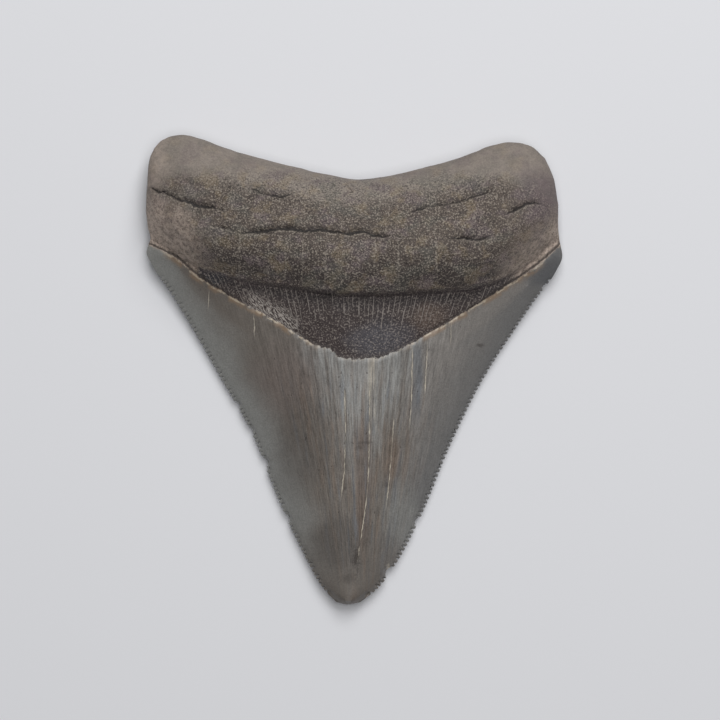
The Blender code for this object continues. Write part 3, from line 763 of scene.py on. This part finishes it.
# Each face unrolls by its own lengths: across by the way along a row, up by the columns' mean
steps_over = np.linalg.norm(np.diff(sheets, axis=2), axis=-1)
over = np.concatenate([np.zeros((2, rows + 1, 1)), np.cumsum(steps_over, axis=2)], axis=2)
over -= 0.5 * over[..., -1:]
steps_up = np.linalg.norm(np.diff(sheets, axis=1), axis=-1).mean(axis=2)
up = np.concatenate([np.zeros((2, 1)), np.cumsum(steps_up, axis=1)], axis=1)
width = np.array([LINGUAL_UV_WIDTH, 1 - LINGUAL_UV_WIDTH])
left = np.array([0.0, LINGUAL_UV_WIDTH])
u = over / (2 * over.max(axis=(1, 2), keepdims=True)) + 0.5
u = left[:, None, None] + UV_MARGIN + u * (width - 2 * UV_MARGIN)[:, None, None]
v = UV_MARGIN + up / up[:, -1:] * (1 - 2 * UV_MARGIN)
uv = np.stack([u, np.broadcast_to(v[..., None], u.shape)], axis=-1).reshape(-1, 2)
mesh.uv_layers.new(name="OFBake").data.foreach_set("uv", uv[loops].ravel().astype(np.float32))


def placed(name, data):
    """A new object in the scene that holds the data."""
    piece = bpy.data.objects.new(name, data)
    bpy.context.scene.collection.objects.link(piece)
    return piece


tooth = placed("fossil_tooth", mesh)
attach(tooth, "root")
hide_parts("tooth")

# ------------------------------------------------------------
# Enameloid finish: dense, satin, grey-brown, stained by silt. Fine growth striae run from the neck
# to the tip, the margins are cooler and greener, and the middle has a silvery grey painted sheen.
finish = bpy.data.materials.new("fossil_finish")
finish.use_nodes = True
finish.node_tree.nodes.clear()


class Wire:
    """A number, colour or vector in the material. Sums on it add a Math node each."""

    def __init__(self, socket=None):
        self.socket = socket

    def node(self, kind, settings=(), sockets=(), output=0):
        """Adds any node: its type, then its settings, then the values or links of its sockets."""
        node = finish.node_tree.nodes.new(kind)
        for name, value in dict(settings).items():
            setattr(node, name, value)
        for key, value in dict(sockets).items():
            if isinstance(value, Wire):
                finish.node_tree.links.new(value.socket, node.inputs[key])
            else:
                node.inputs[key].default_value = value
        return Wire(node.outputs[output]) if node.outputs else node

    def math(self, operation, first, second=0.0):
        return self.node("ShaderNodeMath", {"operation": operation}, {0: first, 1: second})

    def __add__(self, other):
        return self.math("ADD", self, other)

    def __sub__(self, other):
        return self.math("SUBTRACT", self, other)

    def __mul__(self, other):
        return self.math("MULTIPLY", self, other)

    def __truediv__(self, other):
        return self.math("DIVIDE", self, other)

    def __rsub__(self, other):
        return self.math("SUBTRACT", other, self)

    def __abs__(self):
        return self.math("ABSOLUTE", self)

    __radd__ = __add__
    __rmul__ = __mul__


bench = Wire()


def tone(red, green, blue):
    """A surface's colour, from 0 to 255 as a screen shows it, in linear light."""
    screen = np.array([red, green, blue]) / 255
    linear = np.where(screen > 0.04045, ((screen + 0.055) / 1.055) ** 2.4, screen / 12.92)
    return (*linear.tolist(), 1.0)


def measure(name):
    """One of the mesh's measures, by name."""
    return bench.node("ShaderNodeAttribute", {"attribute_name": name}, output=2)


def shade(mask, below, above, kind="MIX"):
    """Two colours mixed: the first where the mask is 0, the second where it is 1."""
    settings = {"data_type": "RGBA", "blend_type": kind}
    return bench.node("ShaderNodeMix", settings, {0: mask, 6: below, 7: above}, output=2)


def lit(colour, light):
    """A colour times a number around 1."""
    return shade(1.0, colour, stretched(light, light, light), "MULTIPLY")


def rise(value, low, high):
    """0 where the value is under low, 1 where it is over high, and smooth between. With low over
    high it falls instead."""
    limits = {1: low, 2: high, 3: 0.0, 4: 1.0}
    if low > high:
        limits = {1: high, 2: low, 3: 1.0, 4: 0.0}
    settings = {"interpolation_type": "SMOOTHSTEP"}
    return bench.node("ShaderNodeMapRange", settings, {0: value, **limits})


def coated(colour, *layers):
    """A colour with others laid over it in turn: each layer is a mask and a colour."""
    for mask, tint in layers:
        colour = shade(mask, colour, tint)
    return colour


def stretched(x, y, z):
    """A point or a colour from three numbers."""
    return bench.node("ShaderNodeCombineXYZ", sockets={0: x, 1: y, 2: z})


def mottle(points, size, detail=2.0, coarseness=0.5):
    """Cloudy noise around 0.5, with patches of the given size in millimetres."""
    sockets = {"Vector": points, "Scale": 1.0 / size, "Detail": detail, "Roughness": coarseness}
    return bench.node("ShaderNodeTexNoise", sockets=sockets)


def ellipse(at_x, at_y, centre, radii):
    """How far a place is from an ellipse's middle, as a share of its radii."""
    offset = stretched((at_x - centre[0]) / radii[0], (at_y - centre[1]) / radii[1], 0.0)
    return bench.node("ShaderNodeVectorMath", {"operation": "LENGTH"}, {0: offset}, output=1)


def spot(centre, radii):
    """1 inside an ellipse on the tooth and 0 outside it, with a soft border that wanders."""
    return rise(ellipse(wander_x, wander_y, centre, radii), 1.0, 0.3)


def mark(centre, radii):
    """The same for a small mark that stays at its place, with a ragged border."""
    ragged = ellipse(x, y, centre, radii) + 1.8 * (grit - 0.5) + 1.8 * (clouds - 0.5)
    return rise(ragged, 1.3, 0.1) * lingual_side


def dabs(shape, places):
    """Layers for spots or marks: middle and radii in millimetres, strength and colour of each."""
    return [(shape(centre, radii) * strength, tint) for centre, radii, strength, tint in places]


place = bench.node("ShaderNodeTexCoord", output=3)
place = bench.node("ShaderNodeVectorMath", {"operation": "SCALE"}, {0: place, "Scale": 1 / MM})
x, y, z = (bench.node("ShaderNodeSeparateXYZ", sockets={0: place}, output=axis) for axis in range(3))
drift = mottle(place, 7.0, 3.0) - 0.5
wander_x = x + 5.0 * drift
wander_y = y + 6.0 * (mottle(stretched(x + 40.0, y, z), 6.0, 3.0) - 0.5)

STRIA_MIDDLE = 1.5
STRIA_FAN = 0.014  # how fast the striae spread, for each millimetre up the crown
fan_x = (x - STRIA_MIDDLE) / (1.0 + STRIA_FAN * y)
striae = mottle(stretched(fan_x * 2.4, y * 0.10, z * 0.3), 1.0, 3.0, 0.6)
fine_striae = mottle(stretched(fan_x * 3.6, y * 0.45, z), 1.0, 3.0, 0.65)
broad_striae = mottle(stretched(fan_x * 0.75, y * 0.05, z * 0.1), 1.0, 3.0, 0.6)
grit = mottle(place, 0.34, 2.0, 0.65)
fine_grit = mottle(place, 0.26, 1.0, 0.5)
clouds = mottle(place, 1.6, 3.0, 0.6)
warm_streaks = mottle(stretched(fan_x * 0.7 + 20.0, y * 0.08, z * 0.1), 1.0, 3.0, 0.6)

ENAMEL = tone(105, 99, 93)
ENAMEL_RIGHT_LIT = tone(124, 120, 116)
MARGIN_LEFT = tone(131, 131, 128)
MARGIN_RIGHT = tone(107, 106, 105)
# Silver grey of the painted sheen in the crown's middle
ENAMEL_SILVER_SHEEN = tone(128, 128, 126)
ENAMEL_BROWN = tone(92, 78, 69)
ENAMEL_RED = tone(105, 94, 90)
ENAMEL_DARK = tone(84, 79, 75)
ENAMEL_STREAK = tone(164, 155, 140)
ENAMEL_BLUE = tone(94, 99, 106)
ENAMEL_WARM = tone(116, 100, 87)
ENAMEL_CORNER = tone(78, 80, 84)
SILT = tone(186, 177, 162)
PIT_DARK = tone(58, 52, 48)
UNDER_SPOTS = (  # middle and radii in millimetres, strength and colour
    ((-11.5, -1.5), (9.0, 10.0), 0.45, ENAMEL_RED),
    ((-9.5, -14.0), (7.0, 12.0), 0.5, ENAMEL_DARK),
    ((-2.0, -31.0), (8.0, 7.0), 0.65, ENAMEL_DARK),
    ((8.5, -26.0), (4.0, 8.0), 0.6, MARGIN_LEFT),
)
OVER_SPOTS = (
    ((6.9, -15.5), (1.8, 6.0), 0.5, ENAMEL_WARM),
    ((34.0, 17.5), (6.0, 5.0), 0.6, ENAMEL_CORNER),
)
MARKS = (  # dark pits and scratches, and last the pale scar of a chip
    ((0.3, -33.2), (0.7, 2.2), 0.9, PIT_DARK),
    ((0.6, -36.0), (0.35, 0.9), 0.5, PIT_DARK),
    ((-0.9, -37.2), (1.6, 1.4), 0.45, PIT_DARK),
    ((-1.6, -20.9), (0.35, 0.8), 0.6, PIT_DARK),
    ((5.7, -20.4), (0.3, 1.6), 0.5, PIT_DARK),
    ((2.0, -12.9), (1.6, 0.3), 0.55, PIT_DARK),
    ((0.8, -13.7), (0.9, 0.5), 0.5, PIT_DARK),
    ((22.4, 4.5), (0.7, 0.35), 0.6, PIT_DARK),
    ((6.1, -35.4), (0.45, 1.1), 0.7, SILT),
)

lingual_side = measure("lingual")
margin_gap = measure("margin")
centre = rise(margin_gap, 2.0, 9.0)
near_margin = rise(margin_gap + 5.0 * drift, 8.5, 0.5) * rise(y, -42.0, -22.0)
# Painted sheen: a silvery grey in the crown's middle that stands in for light glancing off the
# enameloid.
silver_sheen_reach = abs(x - STRIA_MIDDLE) - 0.40 * y + 4.0 * drift + 3.0 * (broad_striae - 0.5)
silver_sheen = rise(silver_sheen_reach, 11.5, 6.0) * rise(broad_striae + 0.4 * (striae - 0.5), 0.22, 0.70)
brown = rise(abs(fan_x - 0.2 + 1.2 * drift), 2.8, 1.0) * rise(y, -6.0, -13.0) * rise(y, -34.0, -26.0)
pale_streak = rise(abs(x - 3.2 + 0.8 * (broad_striae - 0.5)), 1.1, 0.2) * rise(y, -16.0, -1.0)
blue_streak = rise(abs(x - 11.2 + 1.5 * drift), 1.4, 0.4) * rise(y, -12.0, -4.0) * rise(y, 6.0, 3.0)
off_middle = abs(x - STRIA_MIDDLE + 4.0 * drift) - 0.3 * y
streaked = rise(off_middle, 19.0, 8.0) * rise(y, 3.0, -6.0)
striated = rise(off_middle, 22.0, 9.0) * rise(y, -41.0, -31.0)
# The right half of the crown is painted lighter: painted light from the right.
enamel_colour = coated(
    shade(rise(x + 6.0 * drift, 4.0, 14.0), ENAMEL, ENAMEL_RIGHT_LIT),
    (near_margin, shade(rise(x, -8.0, 8.0), MARGIN_LEFT, MARGIN_RIGHT)),
    *dabs(spot, UNDER_SPOTS),
    (silver_sheen, ENAMEL_SILVER_SHEEN),
    (brown * 0.7, ENAMEL_BROWN),
    (pale_streak * rise(striae, 0.36, 0.58) * 0.6, ENAMEL_STREAK),
    (blue_streak * 0.5, ENAMEL_BLUE),
    (rise(warm_streaks, 0.50, 0.66) * streaked * 0.5, ENAMEL_WARM),
    (rise(warm_streaks, 0.46, 0.34) * streaked * 0.5, ENAMEL_BLUE),
    *dabs(spot, OVER_SPOTS),
)
stria_light = 1.4 * (striae - 0.5) + 1.7 * (fine_striae - 0.5) + 0.6 * (broad_striae - 0.5)
enamel_light = 1.0 + stria_light * (0.06 + 0.78 * striated)
enamel_light = enamel_light + 0.60 * (fine_grit - 0.5) + 0.20 * (clouds - 0.5)

hairline_gap = abs(measure("hairline") + 0.34 * (mottle(place, 0.9, 3.0) - 0.5))
hairline_width = 0.26 * (mottle(stretched(x, y * 0.6, 3.0), 0.7, 2.0) - 0.5)
hairline_mask = rise(hairline_gap - hairline_width, 0.13, 0.02) * measure("hairline_reach")
hairline_shadow = rise(abs(hairline_gap - 0.20), 0.11, 0.0) * measure("hairline_reach")
filled = rise(mottle(stretched(x, y * 0.45, 7.0), 1.3, 2.0), 0.36, 0.52)
specks = rise(mottle(stretched(x * 1.3, y * 0.6, z), 0.5, 0.0), 0.79, 0.87) * centre
enamel_colour = coated(
    lit(enamel_colour, enamel_light),
    (hairline_mask * (0.30 + 0.60 * filled), SILT),
    (hairline_shadow * 0.35, ENAMEL_DARK),
    (specks * 0.6, PIT_DARK),
    *dabs(mark, MARKS),
)

enamel_roughness = 0.40 + 0.16 * (mottle(place, 2.4, 3.0) - 0.5) + 0.10 * (striae - 0.5)
enamel_bump = (0.05 * (striae - 0.5) + 0.05 * (fine_striae - 0.5)) * (0.3 + 0.7 * centre)
enamel_bump = enamel_bump + 0.012 * (grit - 0.5) - 0.06 * hairline_mask - 0.04 * specks

# ------------------------------------------------------------
# Neck finish: bare dentine between the enamel and the ledge, dark and gritty, with pale raised
# ribs that hang from the ledge, a bluish patch in its foot and chalky silt near the left edge.
NECK = tone(54, 44, 43)
NECK_DARK = tone(61, 54, 55)
NECK_BLUE = tone(74, 73, 79)
NECK_BROWN = tone(92, 77, 68)
NECK_CHALK = tone(172, 165, 158)
NECK_END = tone(50, 52, 57)
RIB = tone(143, 135, 129)
GRIT_LIGHT = tone(148, 139, 131)
GRIT_DARK = tone(40, 35, 33)
NECK_SPOTS = (  # as for the enamel
    ((4.0, 5.6), (8.5, 5.0), 0.8, NECK_BLUE),
    ((13.0, 9.5), (5.0, 3.4), 0.7, NECK_BROWN),
    ((-25.5, 16.4), (4.5, 2.4), 0.7, NECK_END),
)

ledge_place = measure("ledge_gap")
enamel_place = measure("enamel_gap")
mixed_grit = 0.5 * grit + 0.5 * fine_grit
light_grit = rise(mixed_grit, 0.52, 0.61)
dark_grit = rise(mixed_grit, 0.485, 0.39)
neck_colour = coated(
    shade(rise(ledge_place + 1.6 * drift, -3.4, -1.2), NECK, NECK_DARK),
    *dabs(spot, NECK_SPOTS),
    (light_grit * 0.55, GRIT_LIGHT),
    (dark_grit * 0.62, GRIT_DARK),
)
# Painted shade: the neck is darker for a few millimetres below the middle of the ledge.
shade_under_ledge = rise(ledge_place, -6.0, -3.0) * rise(abs(x), 16.0, 6.0)
neck_colour = lit(neck_colour, 1.0 + 0.25 * rise(x, -11.0, -18.0) - 0.10 * shade_under_ledge)
flecks = mottle(stretched(x * 1.2 + y * 0.9, y * 0.5, 5.0), 0.28, 1.0)
chalk = rise(enamel_place + 2.0 * drift, 3.6, 1.2) * rise(abs(x + 14.4 + 4.0 * drift), 6.0, 3.0)
chalk = chalk * rise(flecks, 0.46, 0.58)
rib_place = measure("rib")
rib_gap = bench.node("ShaderNodeMath", {"operation": "PINGPONG"}, {0: rib_place, 1: 0.5})
rib_mask = rise(rib_gap + 0.24 * (mottle(place, 0.6, 3.0) - 0.5), 0.14, 0.02) * measure("rib_reach")
rib_mask = rib_mask * rise(mottle(stretched(rib_place * 0.9, y * 0.25, 3.0), 1.0, 0.0), 0.32, 0.56)
neck_colour = coated(neck_colour, (chalk * 0.85, NECK_CHALK), (rib_mask * 0.8, RIB))
neck_bump = 0.14 * (grit - 0.5) + 0.05 * rib_mask

# ------------------------------------------------------------
# Root finish: porous brown bone, matt. The rim near the basal margin is smoother and paler, a
# paleness that is partly stain and partly painted light. The broad middle is dark with pale grains,
# its lower part darker with stain and painted shade, and both ends near the enamel are smooth and
# tan.
ROOT = tone(85, 75, 68)
ROOT_RIM_PALE_AND_LIT = tone(126, 117, 109)
ROOT_DARK_AND_SHADE = tone(66, 58, 56)
ROOT_TAN = tone(172, 156, 144)
ROOT_OCHRE = tone(122, 108, 88)
ROOT_MAUVE = tone(98, 86, 88)
ROOT_OLIVE = tone(84, 84, 78)
GRAIN_LIGHT = tone(155, 146, 134)
CRACK_DARK = tone(30, 26, 25)


def patchwork(points, size):
    """Patches with soft borders, fainter where the bone is smooth."""
    return rise(mottle(points, size, 3.0), 0.50, 0.64) * (0.40 + 0.60 * porous)


# The smooth rim is broader over the lobes
basal_place = measure("basal_gap") - 2.8 * rise(abs(x), 14.0, 34.0)
root_end = rise(abs(x) + 4.0 * drift, 23.0, 31.0) * lingual_side
low_root_and_shade = rise(ledge_place + 4.0 * drift, 10.0, 2.0) * lingual_side * (1.0 - root_end)
porous = rise(basal_place - 0.16 * abs(x) + 4.0 * drift, -2.0, 2.0) * (1.0 - 0.40 * root_end)
clumps = mottle(place, 0.9, 3.0, 0.65)
end_patch = root_end * rise(enamel_place + 0.03 * x + 5.0 * (clouds - 0.5), 9.0, 2.0)
end_patch = end_patch + 0.40 * rise(x, -32.0, -36.0) * root_end
end_patch = end_patch * (0.50 + 0.40 * rise(clumps, 0.38, 0.60))
# The rim is painted paler and the lower root darker: partly stain, partly painted light and shade.
root_colour = coated(
    shade(rise(basal_place + 4.0 * drift, 3.0, 7.0), ROOT_RIM_PALE_AND_LIT, ROOT),
    (low_root_and_shade * 0.8, ROOT_DARK_AND_SHADE),
    (patchwork(place, 3.2) * 0.55, ROOT_OCHRE),
    (patchwork(stretched(x, y * 1.4, z + 30.0), 4.0) * 0.7, ROOT_MAUVE),
    (spot((33.5, 31.0), (6.0, 7.0)) * 0.8, ROOT_MAUVE),
    (patchwork(stretched(x + 60.0, y * 1.3, z), 4.2) * 0.45, ROOT_OLIVE),
    (end_patch, ROOT_TAN),
)
root_colour = lit(root_colour, 1.0 + 0.2 * end_patch)
root_colour = lit(root_colour, 1.0 + 0.55 * (clouds - 0.5) + (0.40 + 0.20 * porous) * (clumps - 0.5))
vein_mask = rise(abs(measure("vein") + 0.5 * (mottle(place, 1.2) - 0.5)), 0.22, 0.06)
vein_mask = vein_mask * measure("vein_reach") * rise(grit, 0.38, 0.58)
crack_gape = measure("crack_width")
crack_core = abs(measure("crack_gap") + 0.25 * (grit - 0.5))
crack_mask = rise(crack_core - 0.22 * crack_gape, 0.09, -0.07) * rise(crack_gape, 0.1, 0.4)
# Painted highlight: a pale line on each crack's lower lip, which faces the light.
crack_lip_highlight = rise(abs(measure("crack_gap") + 0.45), 0.28, 0.05) * crack_gape * rise(grit, 0.44, 0.56)
root_colour = coated(
    root_colour,
    (light_grit * (0.18 + 0.52 * porous), GRAIN_LIGHT),
    (dark_grit * (0.15 + 0.55 * porous), GRIT_DARK),
    (vein_mask * 0.5, GRAIN_LIGHT),
    # Darker along the cracks: partly stain, partly painted shade.
    (measure("stain_and_shade") * (0.35 + 0.4 * rise(grit, 0.6, 0.45)), GRIT_DARK),
    (crack_mask * 0.85, CRACK_DARK),
    (crack_lip_highlight * 0.6, GRAIN_LIGHT),
)
root_bump = (0.05 + 0.15 * porous) * (grit - 0.5) + 0.06 * (mottle(place, 1.0, 3.0) - 0.5)

# ------------------------------------------------------------
# Where the finishes meet: the neck's ends at the ledge, and the enamel's ends in a thin pale rim
# of silt, with a band of tan stain before it and a dark gap past it.
NECK_ENDS = ((-28.3, -27.5), (31.0, 26.5))  # x over which the dark band starts and runs out
RIM_PALE = tone(178, 166, 148)
RIM_TAN = tone(134, 113, 92)
GAP_DARK = tone(50, 44, 41)
BONE_ROUGHNESS = 0.74

on_neck = rise(ledge_place + 0.5 * (grit - 0.5), 0.5, -0.3) * lingual_side
on_neck = on_neck * rise(x + 0.6 * (grit - 0.5), *NECK_ENDS[0]) * rise(x, *NECK_ENDS[1])
bone_colour = shade(on_neck, root_colour, neck_colour)
# Painted light: the ledge's steep face, which turns away from the light, is painted lighter.
lit_ledge_face = rise(abs(ledge_place), 1.1, 0.3) * lingual_side * (1.0 - root_end)
bone_colour = lit(bone_colour, 1.0 + 0.75 * lit_ledge_face)
bone_bump = root_bump + on_neck * (neck_bump - root_bump)
raggedness = 0.7 + 0.9 * rise(abs(x - 1.0), 9.0, 4.0)
ragged = enamel_place + raggedness * (mottle(place, 0.6, 4.0, 0.7) - 0.5)
off_enamel = rise(ragged, -0.02, 0.14)
gap_mask = rise(ragged, 0.10, 0.25) * rise(ragged, 0.80, 0.40)
rim_reach = rise(abs(x - STRIA_MIDDLE), 6.0, 12.0) * rise(abs(x), 35.5, 32.0)
tan_band = rise(ragged, -1.1, -0.3) * rise(ragged, 0.2, 0.0)
tan_band = tan_band * rise(mottle(place, 2.6, 2.0), 0.38, 0.56)
rim_mask = rise(abs(ragged + 0.10), 0.23, 0.07) * (0.25 + 0.75 * rim_reach)
rim_mask = rim_mask * rise(mottle(place, 0.9, 3.0), 0.40, 0.56)
colour = coated(
    enamel_colour,
    (off_enamel, bone_colour),
    (gap_mask * (0.45 + 0.4 * rise(abs(x), 20.0, 27.0)), GAP_DARK),
    (tan_band * rim_reach * 0.75, RIM_TAN),
    (rim_mask * 0.85, RIM_PALE),
)
bump_height = enamel_bump + off_enamel * (bone_bump - enamel_bump)
surface_roughness = enamel_roughness + off_enamel * (BONE_ROUGHNESS - enamel_roughness)
bump = bench.node("ShaderNodeBump", sockets={"Strength": 1.0, "Distance": MM, "Height": bump_height})
shader = bench.node(
    "ShaderNodeBsdfPrincipled",
    sockets={"Base Color": colour, "Roughness": surface_roughness, "Normal": bump},
)
bench.node("ShaderNodeOutputMaterial", sockets={"Surface": shader})
mesh.materials.append(finish)

# ------------------------------------------------------------
# Studio: a matt pale board that the tooth lies on, two large soft lights, and a camera that looks
# straight down on it.
BOARD_SIZE = 3.0
CAMERA_HEIGHT = 0.8
CAMERA_PLACE = (1.044 * MM, 1.844 * MM)
VIEW_WIDTH = 129.6 * MM  # of the board that the camera sees
SENSOR_WIDTH = 36.0
CLIP_START = 0.01
BOARD_COLOUR = (0.72, 0.725, 0.75, 1.0)
BOARD_ROUGHNESS = 0.9
BOARD_SHEEN = 0.2
ROOM_COLOUR = (1.0, 1.0, 1.02, 1.0)
ROOM_LIGHT = 0.08
# The lights: their place and size in metres, and their power in watts
LIGHTS = {"overhead": ((0.08, 0.0, 1.2), 0.6, 5.0), "top": ((0.12, 0.48, 0.66), 0.5, 4.9)}

board_mesh = bpy.data.meshes.new("board")
half = 0.5 * BOARD_SIZE
corners = [(-half, -half, 0.0), (half, -half, 0.0), (half, half, 0.0), (-half, half, 0.0)]
board_mesh.from_pydata(corners, [], [(0, 1, 2, 3)])
board_finish = bpy.data.materials.new("matt_board")
board_finish.use_nodes = True
board_shader = board_finish.node_tree.nodes["Principled BSDF"]
board_shader.inputs["Base Color"].default_value = BOARD_COLOUR
board_shader.inputs["Roughness"].default_value = BOARD_ROUGHNESS
board_shader.inputs["Specular IOR Level"].default_value = BOARD_SHEEN
board_mesh.materials.append(board_finish)
board = placed("board", board_mesh)

world = bpy.data.worlds.new("studio")
world.use_nodes = True
background = world.node_tree.nodes["Background"]
background.inputs["Color"].default_value = ROOM_COLOUR
background.inputs["Strength"].default_value = ROOM_LIGHT
bpy.context.scene.world = world

for name, (lamp_place, size, power) in LIGHTS.items():
    light = bpy.data.lights.new(name, "AREA")
    light.size = size
    light.energy = power
    lamp = placed(name, light)
    lamp.location = lamp_place
    lamp.rotation_euler = lamp.location.to_track_quat("Z", "Y").to_euler()

lens = bpy.data.cameras.new("camera")
lens.sensor_width = SENSOR_WIDTH
lens.lens = SENSOR_WIDTH * CAMERA_HEIGHT / VIEW_WIDTH
lens.clip_start = CLIP_START
camera = placed("camera", lens)
camera.location = (*CAMERA_PLACE, CAMERA_HEIGHT)
bpy.context.scene.camera = camera
bpy.context.scene.view_settings.view_transform = "Standard"
